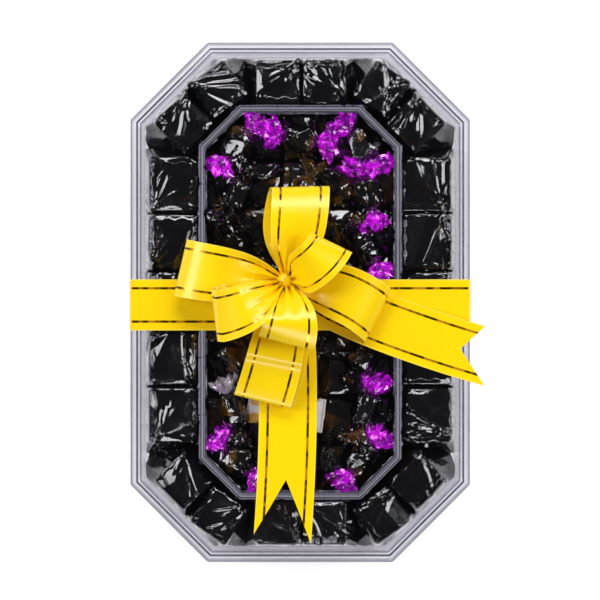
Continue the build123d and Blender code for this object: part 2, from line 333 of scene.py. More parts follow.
def cellophane():
    finish = Finish("cellophane")
    place = finish.coordinates()
    # Patches from lilac grey to near white, more opaque and rougher: partly milky haze, partly painted sheen
    # that stands in for the highlights of crinkled clear film.
    haze_and_sheen = finish.noise(place, 130.0, 3.0).between(0.35, 0.75)
    colour = finish.mix(haze_and_sheen, tone(205, 193, 212), tone(255, 251, 255))
    finish.principled(Base_Color=colour, Metallic=0.20, Roughness=haze_and_sheen * 0.12 + 0.14, Coat_Weight=1.0,
                      Coat_Roughness=0.04, Coat_IOR=1.7, Alpha=haze_and_sheen * 0.06 + 0.92)
    return finish.material


def packet_film(looks):
    finish = Finish("packet_film")
    place = finish.coordinates()
    around = finish.cells(finish.stretched(place, (1.0, 2.1, 1.0)), 84.0).between(0.38, 0.46)
    colour = finish.mix(around, tuple(looks.motif), tuple(looks.paper))
    wrinkle = finish.noise(place, 240.0, 3.0, 0.6)
    finish.principled(Base_Color=colour, Roughness=0.30, Coat_Weight=0.4, Coat_Roughness=0.08,
                      Normal=finish.bump(wrinkle, 0.35, 0.0005))
    return finish.material


def ribbon_satin(looks):
    """Satin whose stripes follow the ribbon: the UV map holds metres along it and in from its nearer edge."""
    finish = Finish("ribbon_satin")
    run = finish.node("ShaderNodeUVMap", {"uv_map": "UVMap"})
    from_edge = finish.node("ShaderNodeSeparateXYZ", None, {"Vector": run}, "Y")
    half = looks.stripe_width / 2
    stripe = 1.0 - abs(from_edge - looks.stripe_inset).between(half * 0.75, half * 1.1)
    edge = 1.0 - from_edge.between(0.0003, 0.0011)
    ribs = finish.noise(finish.stretched(run, (2600.0, 60.0, 1.0)), 1.0, 2.0, 0.6)
    cloud = finish.noise(finish.stretched(run, (90.0, 30.0, 1.0)), 1.0, 2.0)
    satin = finish.mix(ribs * 0.4 + cloud * 0.3, tuple(looks.yellow), tone(255, 206, 0))
    satin = finish.mix(edge * 0.45, satin, tone(255, 232, 90))
    # Painted glints: noise turns stretches of each stripe gold, as painted highlights, and leaves the rest
    # dark brown, a painted reflection of the dim room in the metallic thread.
    glint = finish.noise(finish.stretched(run, (120.0, 1.0, 1.0)), 1.0, 1.0).between(0.46, 0.56)
    thread = finish.mix(glint, tone(74, 46, 8), tuple(looks.gold))
    colour = finish.mix(stripe, satin, thread)
    finish.principled(Base_Color=colour, Metallic=stripe * 0.45, Roughness=0.28 - stripe * 0.12,
                      Sheen_Weight=0.02, Sheen_Roughness=0.4, Specular_IOR_Level=0.52,
                      Normal=finish.bump(ribs - stripe * 0.5, 0.12, 0.0001))
    return finish.material


def floor_paint(looks):
    """Adds light of its own where it is seen, and none to the box."""
    finish = Finish("floor_paint")
    seen = finish.ray("Is Camera Ray")
    for kind in ("Is Glossy Ray", "Is Transmission Ray"):
        seen = seen.math("MAXIMUM", seen, finish.ray(kind))
    lift = finish.mix(seen, (0, 0, 0, 1), (looks.lift, looks.lift, looks.lift, 1))
    finish.principled(Base_Color=tuple(looks.floor), Roughness=0.9, Specular_IOR_Level=0.0,
                      Emission_Color=lift, Emission_Strength=1.0)
    return finish.material


# Small sums
def clamped(value):
    """A value held between 0 and 1."""
    return np.clip(value, 0.0, 1.0)


def way_at(angle):
    """The direction of an angle, seen from above."""
    return np.array((cos(angle), sin(angle)))


def left_of(way):
    """The direction to the left of another."""
    return np.array((-way[1], way[0]))


def lengths_along(line):
    """How far along a line each of its points lies."""
    return np.concatenate(((0,), np.cumsum(np.linalg.norm(np.diff(line, axis=0), axis=1))))


def read_between(at, places, rows):
    """The rows that lie at given places, worked out between those that are known."""
    return np.column_stack([np.interp(at, places, column) for column in rows.T])


# Handling of pieces
def start_primitive(operator, name, **settings):
    """Adds a primitive with nothing else selected, and names it."""
    bpy.ops.object.select_all(action="DESELECT")
    operator(**settings)
    piece = bpy.context.object
    piece.name = name
    piece.data.name = name
    return piece


def work_on(piece):
    bpy.ops.object.select_all(action="DESELECT")
    bpy.context.view_layer.objects.active = piece
    piece.select_set(True)


def grid(name, along, across, low=0.0):
    """A flat grid, from low to 1 along X and Y."""
    settings = {"x_subdivisions": along, "y_subdivisions": across, "size": 1.0 - low}
    piece = start_primitive(bpy.ops.mesh.primitive_grid_add, name, **settings)
    points = read_points(piece)
    points[:, :2] = points[:, :2] + (1.0 + low) / 2
    write_points(piece, points)
    return piece


def read_points(piece):
    points = np.zeros(len(piece.data.vertices) * 3)
    piece.data.vertices.foreach_get("co", points)
    return points.reshape(-1, 3)


def read_normals(piece):
    normals = np.zeros(len(piece.data.vertices) * 3)
    piece.data.vertices.foreach_get("normal", normals)
    return normals.reshape(-1, 3)


def write_points(piece, points):
    piece.data.vertices.foreach_set("co", points.ravel())
    piece.data.update()


def apply_modifier(piece, kind, **settings):
    work_on(piece)
    bpy.ops.object.modifier_add(type=kind)
    modifier = piece.modifiers[-1]
    for name, value in settings.items():
        setattr(modifier, name, value)
    bpy.ops.object.modifier_apply(modifier=modifier.name)


def clean_mesh(piece, gap=0.00002, close=False):
    """Merges doubled points, closes open ends if asked, and turns the faces outward."""
    work_on(piece)
    bpy.ops.object.mode_set(mode="EDIT")
    bpy.ops.mesh.select_all(action="SELECT")
    bpy.ops.mesh.remove_doubles(threshold=gap)
    if close:
        bpy.ops.mesh.select_all(action="DESELECT")
        bpy.ops.mesh.select_non_manifold(extend=False)
        bpy.ops.mesh.edge_face_add()
    bpy.ops.mesh.select_all(action="SELECT")
    bpy.ops.mesh.normals_make_consistent(inside=False)
    bpy.ops.object.mode_set(mode="OBJECT")


def smooth(piece, angle):
    work_on(piece)
    bpy.ops.object.shade_smooth_by_angle(angle=radians(angle))


def own_copy(piece, name):
    """A copy of a piece with a mesh of its own."""
    copy = piece.copy()
    copy.data = piece.data.copy()
    copy.name = name
    copy.data.name = name
    bpy.context.scene.collection.objects.link(copy)
    return copy


def dispose(piece):
    mesh = piece.data
    bpy.data.objects.remove(piece)
    bpy.data.meshes.remove(mesh)


def join_pieces(pieces, name):
    bpy.ops.object.select_all(action="DESELECT")
    for piece in pieces:
        piece.select_set(True)
    bpy.context.view_layer.objects.active = pieces[0]
    bpy.ops.object.join()
    joined = bpy.context.object
    joined.name = name
    joined.data.name = name
    return joined


def place_flat(piece, x, y, z, turn):
    """Turns a piece about Z and sets it at its place, in its mesh."""
    piece.data.transform(Matrix.Translation((x, y, z)) @ Matrix.Rotation(turn, 4, "Z"))
    piece.data.update()


def hand_over(piece, node, body):
    """Puts a finished piece in the place of its CAD node."""
    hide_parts(node)
    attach(piece, body)


# Where the CAD pieces lie
def plan_of(node):
    """Middle, turn and size of a node from above: the smallest rectangle that holds it, and its heights."""
    points = read_points(frame["nodes"][node])
    flat = points[:, :2]
    best = None
    for degrees in np.arange(0.0, 90.0, 0.5):
        along = way_at(radians(degrees))
        across = left_of(along)
        u = flat @ along
        v = flat @ across
        size = np.array((u.max() - u.min(), v.max() - v.min()))
        if best is None or size.prod() < best[0]:
            middle = along * (u.max() + u.min()) / 2 + across * (v.max() + v.min()) / 2
            best = (size.prod(), middle, degrees, size)
    _, middle, degrees, size = best
    if size[1] > size[0] * 1.02:
        degrees = degrees + 90.0
        size = size[::-1]
    return middle, radians(degrees), size, points[:, 2].min(), points[:, 2].max()


def loose_boxes(node):
    """Lowest and highest corner of each separate solid in a node."""
    whole = own_copy(frame["nodes"][node], "whole")
    whole.parent = None
    clean_mesh(whole)
    before = set(bpy.data.objects)
    bpy.ops.mesh.separate(type="LOOSE")
    loose = [whole] + [piece for piece in bpy.data.objects if piece not in before]
    boxes = []
    for piece in loose:
        points = read_points(piece)
        boxes.append((points.min(axis=0), points.max(axis=0)))
        dispose(piece)
    return sorted(boxes, key=lambda box: (box[0][0], box[0][1]))


# Creases in film. Each works on places in the flat of the film, in metres.
def tent(distance, half):
    """1 on a line, falling straight to 0 at half a crease's width from it."""
    return clamped(1.0 - np.abs(distance) / half)


def crease(flat, start, end, height, half, dice, held_start=False):
    """A sharp ridge that wanders a little from start to end and fades at its ends."""
    start = np.array(start)
    run = np.array(end) - start
    length = np.hypot(*run)
    offset = flat - start
    share = offset @ run / length ** 2
    side = (offset[:, 0] * run[1] - offset[:, 1] * run[0]) / length
    wander = 0.02 * length * np.sin(share * dice.uniform(3, 8) + dice.uniform(0, 6))
    fade = clamped(4.0 * (1.0 - share)) * clamped(4.0 * share + held_start)
    return height * tent(side + wander, half * (0.4 + 0.6 * fade)) * fade


def random_creases(flat, dice, count, height, half, reach):
    """Creases of all directions, strewn over the film."""
    low = flat.min(axis=0)
    high = flat.max(axis=0)
    total = np.zeros(len(flat))
    for _ in range(count):
        start = dice.uniform(low, high)
        aim = dice.uniform(0, 2 * pi)
        end = start + reach * dice.uniform(0.4, 1.2) * way_at(aim)
        lift = height * dice.uniform(0.4, 1.0) * dice.choice((-1.0, 1.0, 1.0))
        total = total + crease(flat, start, end, lift, half * dice.uniform(0.6, 1.6), dice)
    return total


def fan_creases(flat, dice, anchor, aim, spread, count, height, half, reach):
    """Creases that run out like a fan from an anchor point."""
    total = np.zeros(len(flat))
    for ray in range(count):
        angle = aim + spread * ((ray + dice.uniform(0.1, 0.9)) / count * 2.0 - 1.0)
        end = np.array(anchor) + reach * dice.uniform(0.4, 1.1) * way_at(angle)
        lift = height * dice.uniform(0.5, 1.0)
        total = total + crease(flat, anchor, end, lift, half * dice.uniform(0.6, 1.4), dice, held_start=True)
    return total


def pleats(angle, dice, count):
    """An uneven zigzag round a tube, from -1 to 1."""
    knots = np.sort(dice.uniform(0, 2 * pi, 2 * count))
    levels = np.where(np.arange(2 * count) % 2 == 0, 1.0, -1.0) * dice.uniform(0.5, 1.0, 2 * count)
    return np.interp(angle, knots, levels, period=2 * pi)


# Blocks in black film
TOP_SHARE = 0.60             # share of the grid, from its middle, that lies on a block's top
FILM_TO_OUTLINE = 0.0084     # from the lid's outline in to where swelling film stops
TRAY_TO_OUTLINE = 0.0064     # from the lid's outline in to the tray's wall at its rim
RIM_HEIGHT = 0.043           # height of that rim
WALL_LEAN = 0.0029           # how far that wall leans in, from rim to floor
DIVIDER_GAP = 0.0004         # how far film stays off the divider
NEIGHBOUR_DISTANCE = 0.050   # how far apart the middles of neighbours are at most
FILM_OVERLAP = 0.0005        # how far film reaches past half the way to a neighbour
LONGEST_REACH = 0.060        # how far from a block's middle film reaches at most
LOOSE_FILM = 0.0140          # how far a block's film can swell
SLACK_LOST_AT_WALL = 0.008   # how much less it swells towards the box's wall
SWELL_DEPTH = 0.009          # how deep under the top it has swelled in full
PLEAT_DEPTH = 0.0004
ROUNDING = 0.0016            # how much the corners are rounded
ROUNDING_AT_WALL = 0.0022    # how much more they are rounded at the box's wall
CREASE_ROOM = 0.0004         # how far the film lies under the top of its CAD node
EDGE_SAG = 0.0010            # how far it sags at the edges of the top


def sides_of(node, inset):
    """The eight sides of a node's outline from above, moved inward: a direction and a distance for each."""
    flat = read_points(frame["nodes"][node])[:, :2]
    ways = [way_at(side * pi / 4) for side in range(8)]
    return [(way, (flat @ way).max() - inset) for way in ways]


def film_reach(middle, others, sides, ease, island=()):
    """How far loose film can spread from a block's middle before it meets the next block, a side or an
    island, which is given by its own sides. One length for each degree, with its corners eased over a few."""
    angles = np.radians(np.arange(360))
    ways = np.column_stack((np.cos(angles), np.sin(angles)))
    reach = np.full(360, LONGEST_REACH)
    limits = [(way, distance - way @ middle) for way, distance in sides]
    for other in others:
        step = other - middle
        distance = np.hypot(*step)
        if 0 < distance < NEIGHBOUR_DISTANCE:
            limits.append((step / distance, distance / 2 + FILM_OVERLAP))
    for way, distance in limits:
        toward = ways @ way
        reach = np.where(toward > 0.01, np.minimum(reach, distance / np.maximum(toward, 0.01)), reach)
    enter = np.zeros(360)
    leave = np.full(360, 1.0 if island else 0.0)
    for way, distance in island:
        toward = ways @ way
        hit = (distance - way @ middle) / np.where(np.abs(toward) > 1e-6, toward, 1e-6)
        enter = np.where(toward < 0, np.maximum(enter, hit), enter)
        leave = np.where(toward > 0, np.minimum(leave, hit), leave)
    reach = np.where(enter < leave, np.minimum(reach, enter), reach)
    rolls = [np.roll(reach, shift) for shift in range(-ease, ease + 1)]
    return np.minimum(np.mean(rolls, axis=0), reach)


def keep_inside(piece, sides, lean=0.0):
    """Presses what reaches past a side back against it. A leaning side comes in by lean from rim to floor."""
    points = read_points(piece)
    inward = lean * clamped(1.0 - points[:, 2] / RIM_HEIGHT)
    for way, distance in sides:
        past = np.maximum(points[:, :2] @ way - distance + inward, 0.0)
        points[:, :2] = points[:, :2] - past[:, None] * way
    write_points(piece, points)


OUTWARD = np.array(((1, 0), (-1, 0), (0, 1), (0, -1)), float)
CORNERS = ((1, 1), (1, -1), (-1, 1), (-1, -1))

# How steep the slopes round a block's top are. The middle ones mirror the lamps.
SLOPES = (0.16, 0.34, 0.40, 0.44, 0.50, 0.85)
ROLL_SLOPE = 0.43            # the same, for a border that is rolled
ROLL_WIDTH = 0.0027
BORDER_WIDTHS = (0.0012, 0.0058)    # least and most
CUT_CORNERS = (0.0030, 0.0080)      # the same, for how much of a corner is cut away
RIPPLE_DEPTH = 0.0006
RIPPLE_WIDTH = 0.0011
RIPPLE_STEP = 1 / 700.0      # the length in which the ripple turns by one radian


def panel_drop(plan, half, dice, borders, rolled):
    """How far the top lies below its middle: slopes round a flat panel, cut corners and a few facets."""
    top = plan @ (dice.normal(size=2) * 0.03)
    for side in range(4):
        slope = ROLL_SLOPE if side in rolled else dice.choice(SLOPES)
        beyond = np.maximum(plan @ OUTWARD[side] - half[side // 2] + borders[side], 0.0)
        top = np.minimum(top, -slope * beyond + np.where(beyond > 0, 0.0, 1.0))
    for corner in CORNERS:
        corner = np.array(corner) * dice.uniform(0.6, 1.4, 2)
        corner = corner / np.hypot(*corner)
        start = np.abs(corner) @ half - dice.uniform(*CUT_CORNERS)
        top = np.minimum(top, -dice.choice(SLOPES[2:]) * (plan @ corner - start))
    for _ in range(4):
        aim = dice.uniform(0, 2 * pi)
        facet = plan @ way_at(aim)
        top = np.minimum(top, -dice.uniform(0.10, 0.42) * (facet - dice.uniform(0.2, 0.7) * half.mean()))
    return np.minimum(top, 0.0)


def block_creases(film, plan, half, dice, height, borders, on_top):
    """Long creases over the top, a broad fan from near one corner, and a ripple along the panel's border."""
    lift = random_creases(film, dice, 1, height * 0.8, half=0.0010, reach=0.030)
    lift = lift + random_creases(film, dice, 2, height * 1.6, half=0.0028, reach=0.040)
    anchor = np.array(CORNERS[dice.permutation(4)[0]]) * half * dice.uniform(0.55, 0.95, 2)
    aim = np.arctan2(-anchor[1], -anchor[0]) + dice.normal() * 0.3
    rays = int(dice.integers(4, 7))
    lift = lift + fan_creases(film, dice, anchor, aim, radians(34), rays, height * 1.5, half=0.0018,
                              reach=0.036)
    lift = lift + fan_creases(film, dice, anchor, aim + pi, radians(80), 2, height * 1.2, half=0.0012,
                              reach=0.020)
    for side in range(4):
        place = plan @ OUTWARD[side] - half[side // 2] + borders[side]
        ripple = RIPPLE_DEPTH * np.sin(film @ OUTWARD[side - 2] / RIPPLE_STEP + dice.uniform(0, 6))
        lift = lift + height * 0.4 * tent(place + ripple, RIPPLE_WIDTH) * on_top
    return lift


def rounded_plan(edge, inside, half, out):
    """Where taut film lies, seen from above. The corners are rounded, and more so at the box's wall."""
    plan = edge * half * inside[:, None]
    rounding = (ROUNDING + ROUNDING_AT_WALL * clamped(edge @ np.array(out) - 0.4))[:, None]
    core = np.clip(plan, -(half - rounding), half - rounding)
    spill = plan - core
    length = np.hypot(spill[:, 0], spill[:, 1])
    far = np.abs(spill).max(axis=1)
    return core + spill * np.where(length > 0, far / np.maximum(length, 1e-9), 1.0)[:, None]


def loosen_sides(plan, depth, height, reach, slack, turn, dice):
    """Lets the film's sides swell out, as far as its slack and the pieces round it allow."""
    angle = np.arctan2(plan[:, 1], plan[:, 0])
    from_middle = np.hypot(plan[:, 0], plan[:, 1])
    spread = np.interp(np.degrees(angle + turn) % 360, np.arange(360), reach, period=360)
    spread = np.minimum(spread, from_middle + slack) + PLEAT_DEPTH * pleats(angle, dice, 14)
    belly = clamped(depth / SWELL_DEPTH) * (0.3 + 0.7 * clamped((height - depth) / (0.3 * height)))
    return plan * (1.0 + belly * np.maximum(spread / np.maximum(from_middle, 1e-6) - 1.0, 0.0))[:, None]


def shape_block(piece, size, height, reach, loose, turn, out, dice, crease_height, rolled=()):
    """Film draped over a cube of chocolate: a flat panel, slopes, folded corners, creases and loose sides."""
    unit = read_points(piece)[:, :2]
    half = np.array(size) / 2
    level = np.abs(unit).max(axis=1)
    edge = unit / np.maximum(level, 1e-9)[:, None]
    inside = clamped(level / TOP_SHARE)
    down = clamped((level - TOP_SHARE) / (1.0 - TOP_SHARE))
    depth = down * height
    slack = loose - SLACK_LOST_AT_WALL * clamped(edge @ np.array(out))
    plan = loosen_sides(rounded_plan(edge, inside, half, out), depth, height, reach, slack, turn, dice)
    film = edge * (half * inside[:, None] + depth[:, None])
    borders = dice.uniform(*BORDER_WIDTHS, 4)
    borders[list(rolled)] = ROLL_WIDTH
    z = height / 2 + panel_drop(plan, half, dice, borders, rolled) * (1.0 - down) - CREASE_ROOM
    z = z - down * (height - CREASE_ROOM) - EDGE_SAG * clamped(inside * 12.0 - 11.0) ** 2 * (1.0 - down)
    points = np.column_stack((plan, z))
    write_points(piece, points)
    lift = block_creases(film, plan, half, dice, crease_height, borders, down == 0)
    write_points(piece, points + read_normals(piece) * (lift * (level < 0.999))[:, None])


def ring_direction(node):
    """Which way the box's wall lies, seen from a block of the outer ring."""
    sideways = 1.0 if "right" in node else -1.0 if "left" in node else 0.0
    lengthways = 1.0 if "top" in node else -1.0 if "bottom" in node else 0.0
    out = np.array((sideways, lengthways))
    return out / np.hypot(*out)


def make_blocks(film, crease_height):
    """The blocks of the outer ring. Those across the short sides each have one rolled border."""
    nodes = sorted(name for name in frame["nodes"] if name.startswith("block_"))
    plans = {node: plan_of(node) for node in nodes}
    middles = [plan[0] for plan in plans.values()]
    walls = sides_of("lid", FILM_TO_OUTLINE)
    tray = sides_of("lid", TRAY_TO_OUTLINE)
    divider = sides_of("divider_ring", -DIVIDER_GAP)
    blank = grid("block_blank", 110, 110, -1.0)
    for count, node in enumerate(nodes):
        middle, turn, size, foot, top = plans[node]
        out = ring_direction(node)
        reach = film_reach(middle, middles, walls, 2, divider)
        along = way_at(turn)
        wall = (out @ along, out @ left_of(along))
        rolled = ()
        if node.startswith(("block_top", "block_bottom")):
            rolled = (0,) if node.endswith("1") else (1,)
        dice = np.random.default_rng(400 + count)
        piece = own_copy(blank, f"wrapped_{node}")
        shape_block(piece, size, top - foot, reach, LOOSE_FILM, turn, wall, dice, crease_height, rolled)
        place_flat(piece, middle[0], middle[1], (foot + top) / 2, turn)
        keep_inside(piece, tray, WALL_LEAN)
        clean_mesh(piece, gap=0.00001, close=True)
        smooth(piece, 22)
        piece.data.materials.append(film)
        hand_over(piece, node, "base")
    dispose(blank)


# Twist-wrapped sweets

# Share of its width that a sweet's body has, at shares of its length
BODY_ROWS = ((0.0, 0.16), (0.07, 0.36), (0.20, 0.84), (0.38, 1.0), (0.62, 1.0), (0.80, 0.84), (0.93, 0.36),
             (1.0, 0.16))


def cut_facets(points, dice, count, nearest):
    """Presses flat facets into a body that about fills a ball of radius 1."""
    pressed = np.ones(len(points))
    for _ in range(count):
        normal = dice.normal(size=3) * (0.7, 1.0, 1.0)
        normal = normal / np.linalg.norm(normal)
        ahead = np.maximum(points @ normal, 1e-6)
        pressed = np.minimum(pressed, dice.uniform(nearest, 0.97) / ahead)
    return pressed


def shape_sweet_body(piece, length, width, height, dice, crease_height):
    unit = read_points(piece)
    along = unit[:, 0]
    angle = unit[:, 1] * 2 * pi
    size = np.interp(along, [row[0] for row in BODY_ROWS], [row[1] for row in BODY_ROWS])
    pinch = clamped(1.0 - np.minimum(along, 1.0 - along) / 0.30)
    ripple = 1.0 + (0.02 + 0.34 * pinch ** 1.4) * pleats(angle + 0.6 * along, dice, 8)
    square = (np.abs(np.cos(angle)) ** 3.6 + np.abs(np.sin(angle)) ** 3.6) ** (-1 / 3.6)
    reach = size * ripple * (square * (1.0 - pinch) + pinch)
    ball = np.column_stack(((along - 0.5) * 1.5, np.cos(angle) * reach, np.sin(angle) * reach))
    reach = reach * cut_facets(ball, dice, 15, 0.60)
    film = np.column_stack(((along - 0.5) * length, angle * width / 2))
    lift = random_creases(film, dice, 5, crease_height * 1.3, half=0.0020, reach=0.022)
    for end in (-1, 1):
        for _ in range(9):
            place = dice.uniform(0, 2 * pi) * width / 2
            lift = lift + crease(film, (end * length * 0.44, place), (end * length * dice.uniform(0.0, 0.2),
                                 place + dice.normal() * 0.003), crease_height * 1.7, 0.0014, dice, True)
    points = np.column_stack(((along - 0.5) * length, np.cos(angle) * (reach * width / 2 + lift),
                              np.sin(angle) * (reach * height / 2 + lift)))
    write_points(piece, points)
    clean_mesh(piece, close=True)


def shape_fan(piece, neck, reach, sign, radius, dice, crumple, uneven):
    """A gathered end that opens like a ruffled cone, crumpled by a given length and with an uneven rim."""
    unit = read_points(piece)
    along = unit[:, 0]
    angle = unit[:, 1] * 2 * pi
    fold = pleats(angle, dice, 8)
    ragged = 1.0 + uneven * pleats(angle, dice, 6)
    open_out = 0.14 + 0.86 * np.sin(along * pi / 2) ** 1.1
    spread = radius * open_out * (1.0 + 0.45 * fold * along ** 0.7)
    x = sign * (neck + (reach - neck) * along * ragged + 0.22 * radius * fold * along)
    tilt = dice.normal(size=2) * 0.25 * (reach - neck) * along[:, None] ** 1.5
    points = np.column_stack((x, np.cos(angle) * spread + tilt[:, 0], np.sin(angle) * spread + tilt[:, 1]))
    noise = dice.normal(size=points.shape) * crumple * along[:, None] ** 0.6
    write_points(piece, points + noise)
    clean_mesh(piece, gap=0.00001)


# Kinds of gathered end: for each layer how widely it opens, as a share of the sweet's width, and how far out
# it reaches, as a share of its length; then the length by which it is crumpled, how uneven its rim is, and
# the angle in degrees up to which it is shaded smooth.
PLAIN_LAYERS = ((0.50, 0.62), (0.34, 0.68))
FOIL_LAYERS = ((0.36, 0.54), (0.48, 0.60), (0.26, 0.66))
END_KINDS = {
    "wrap": (PLAIN_LAYERS, 0.00030, 0.20, 24),
    "pale": (PLAIN_LAYERS, 0.00030, 0.05, 24),
    "foil": (FOIL_LAYERS, 0.00110, 0.34, 5),
}
BODY_SHARE = 0.74            # share of a sweet's length that its body takes up
SWEETS_TO_OUTLINE = 0.0041   # from the divider's outline in to where sweets stop
LOWER_TO_OUTLINE = 0.0039    # the same, for the lower layer
LOOSE_LOWER_FILM = 0.0260    # how far the film of the lower layer can swell
LOWER_OVERLAP = 0.0003       # how much further than its neighbours allow
FAN_THICKNESS = 0.00012

# Where the photograph shows purple foil ends, in its pixels
FOIL_PIXELS = ((248, 122), (219, 158), (222, 180), (302, 120), (284, 136), (335, 132), (352, 155), (357, 158),
               (361, 172), (366, 184), (380, 174), (380, 230), (375, 272), (211, 370), (222, 440), (240, 457),
               (243, 470), (372, 388), (377, 450), (348, 485))
PICTURE_MIDDLE = (300.2, 302.2)
PIXELS_PER_METRE = 1700.0
FOIL_REACH = 0.0100


def kind_of_end(node, middle, end):
    """Foil where the photograph shows it near that end, clear film at the clear sweet's upper end."""
    foil_places = (np.array(FOIL_PIXELS) - PICTURE_MIDDLE) * (1, -1) / PIXELS_PER_METRE
    if np.linalg.norm(foil_places - end, axis=1).min() < FOIL_REACH:
        return "foil"
    return "pale" if node == "cellophane_sweet" and end[1] > middle[1] else "wrap"


def make_sweet(node, number, blanks, finishes, crease_height):
    """One twist-wrapped sweet: a body and its two gathered ends."""
    middle, turn, size, foot, top = plan_of(node)
    dice = np.random.default_rng(900 + number)
    body_length = size[0] * BODY_SHARE
    body = own_copy(blanks["body"], f"body_{number}")
    shape_sweet_body(body, body_length, size[1] * 1.10, top - foot, dice, crease_height)
    body.data.materials.append(finishes["wrap"])
    smooth(body, 20)
    parts = [body]
    for sign in (-1, 1):
        kind = kind_of_end(node, middle, middle + sign * size[0] * 0.45 * way_at(turn))
        layers, crumple, uneven, angle = END_KINDS[kind]
        for layer, (spread, reach) in enumerate(layers):
            fan = own_copy(blanks["foil" if kind == "foil" else "fan"], f"fan_{number}_{sign}_{layer}")
            shape_fan(fan, body_length * 0.44, size[0] * reach, sign, size[1] * spread, dice, crumple, uneven)
            apply_modifier(fan, "SOLIDIFY", thickness=FAN_THICKNESS, offset=0.0)
            fan.data.materials.append(finishes[kind])
            smooth(fan, angle)
            parts.append(fan)
    piece = join_pieces(parts, f"wrapped_{node}")
    place_flat(piece, middle[0], middle[1], (foot + top) / 2, turn)
    keep_inside(piece, sides_of("divider_ring", SWEETS_TO_OUTLINE))
    return piece


def make_sweets(finishes, crease_height):
    """The upper sweets and the clear one, each a node of its own."""
    blanks = {"body": grid("body_blank", 80, 100), "fan": grid("fan_blank", 16, 84),
              "foil": grid("foil_blank", 8, 44)}
    nodes = sorted(name for name in frame["nodes"] if name.startswith("sweet_"))
    for number, node in enumerate(nodes + ["cellophane_sweet"]):
        piece = make_sweet(node, number, blanks, finishes, crease_height)
        hand_over(piece, node, "base")
    for blank in blanks.values():
        dispose(blank)


def make_lower_sweets(film, crease_height):
    """The lower layer: film over a sweet at each place where the CAD node has one."""
    blank = grid("lower_blank", 40, 40, -1.0)
    boxes = loose_boxes("lower_sweets")
    middles = [((low + high) / 2)[:2] for low, high in boxes]
    divider = sides_of("divider_ring", LOWER_TO_OUTLINE)
    parts = []
    for number, (low, high) in enumerate(boxes):
        middle = (low + high) / 2
        size = high - low
        dice = np.random.default_rng(1300 + number)
        part = own_copy(blank, f"lower_{number}")
        reach = film_reach(middle[:2], middles, divider, 0) + LOWER_OVERLAP
        shape_block(part, size[:2], size[2], reach, LOOSE_LOWER_FILM, 0.0, (0.0, 0.0), dice, crease_height)
        place_flat(part, middle[0], middle[1], middle[2], 0.0)
        clean_mesh(part, gap=0.00001, close=True)
        smooth(part, 22)
        part.data.materials.append(film)
        parts.append(part)
    dispose(blank)
    hand_over(join_pieces(parts, "lower_layer"), "lower_sweets", "base")


# Packet
PACKET_TO_LEFT = 0.0048      # how far it lies to the left of its CAD node, as in the photograph
CRIMP_HEIGHT = 0.00025
CRIMP_STEP = 0.0012


def make_packet(film, crease_height):
    """The pale packet: a flat pillow with crimped ends."""
    middle, turn, size, foot, top = plan_of("pouch")
    piece = grid("pale_packet", 80, 80)
    dice = np.random.default_rng(77)
    unit = read_points(piece)
    along = unit[:, 0]
    angle = unit[:, 1] * 2 * pi
    end = np.minimum(along, 1.0 - along)
    fullness = clamped(end / 0.30) ** 0.6 * np.clip((end - 0.04) / 0.10, 0.04, 1.0)
    crimp = np.where(end < 0.07, CRIMP_HEIGHT * np.sin(along * size[0] / CRIMP_STEP * pi), 0.0)
    side = np.sign(np.cos(angle)) * np.abs(np.cos(angle)) ** 0.55
    rise = np.sin(angle) * (0.25 + 0.75 * np.abs(np.sin(angle)))
    points = np.column_stack(((along - 0.5) * size[0], side * size[1] / 2 * (1.0 - 0.06 * fullness),
                              rise * (top - foot) / 2 * fullness + crimp))
    write_points(piece, points)
    clean_mesh(piece, close=True)
    points = read_points(piece)
    lift = random_creases(points[:, :2], dice, 24, crease_height, half=0.0012, reach=0.018)
    write_points(piece, points + read_normals(piece) * lift[:, None])
    place_flat(piece, middle[0] - PACKET_TO_LEFT, middle[1], (foot + top) / 2, turn)
    smooth(piece, 26)
    piece.data.materials.append(film)
    hand_over(piece, "pouch", "base")


# Ribbon
def smooth_route(stops, count):
    """Even points along a smooth line through the stops, and its length."""
    stops = np.array(stops, float)
    padded = np.vstack((2 * stops[0] - stops[1], stops, 2 * stops[-1] - stops[-2]))
    fine = []
    steps = np.linspace(0, 1, 24, endpoint=False)[:, None]
    for a, b, c, d in zip(padded, padded[1:], padded[2:], padded[3:]):
        fine.append(0.5 * (2 * b + (c - a) * steps + (2 * a - 5 * b + 4 * c - d) * steps ** 2
                           + (3 * b - a - 3 * c + d) * steps ** 3))
    fine = np.vstack(fine + [stops[-1:]])
    lengths = lengths_along(fine)
    return read_between(np.linspace(0, lengths[-1], count), lengths, fine), lengths[-1]


def on_route(route, shares):
    """What lies at shares of the way along a route."""
    return read_between(shares * (len(route) - 1), np.arange(len(route)), route)


def write_uv(piece, run, from_edge):
    """Writes metres along the ribbon and in from its nearer edge into the UV map."""
    corners = np.zeros(len(piece.data.loops), int)
    piece.data.loops.foreach_get("vertex_index", corners)
    uv = np.column_stack((run[corners], from_edge[corners]))
    piece.data.uv_layers[0].name = "UVMap"
    piece.data.uv_layers[0].data.foreach_set("uv", uv.ravel())


def finish_ribbon(piece, looks, satin, node):
    """Gives a ribbon its thickness and its satin, and says how it is held."""
    apply_modifier(piece, "SOLIDIFY", thickness=looks.thickness, offset=0.0)
    smooth(piece, 40)
    piece.data.materials.append(satin)
    hand_over(piece, node, "lid")


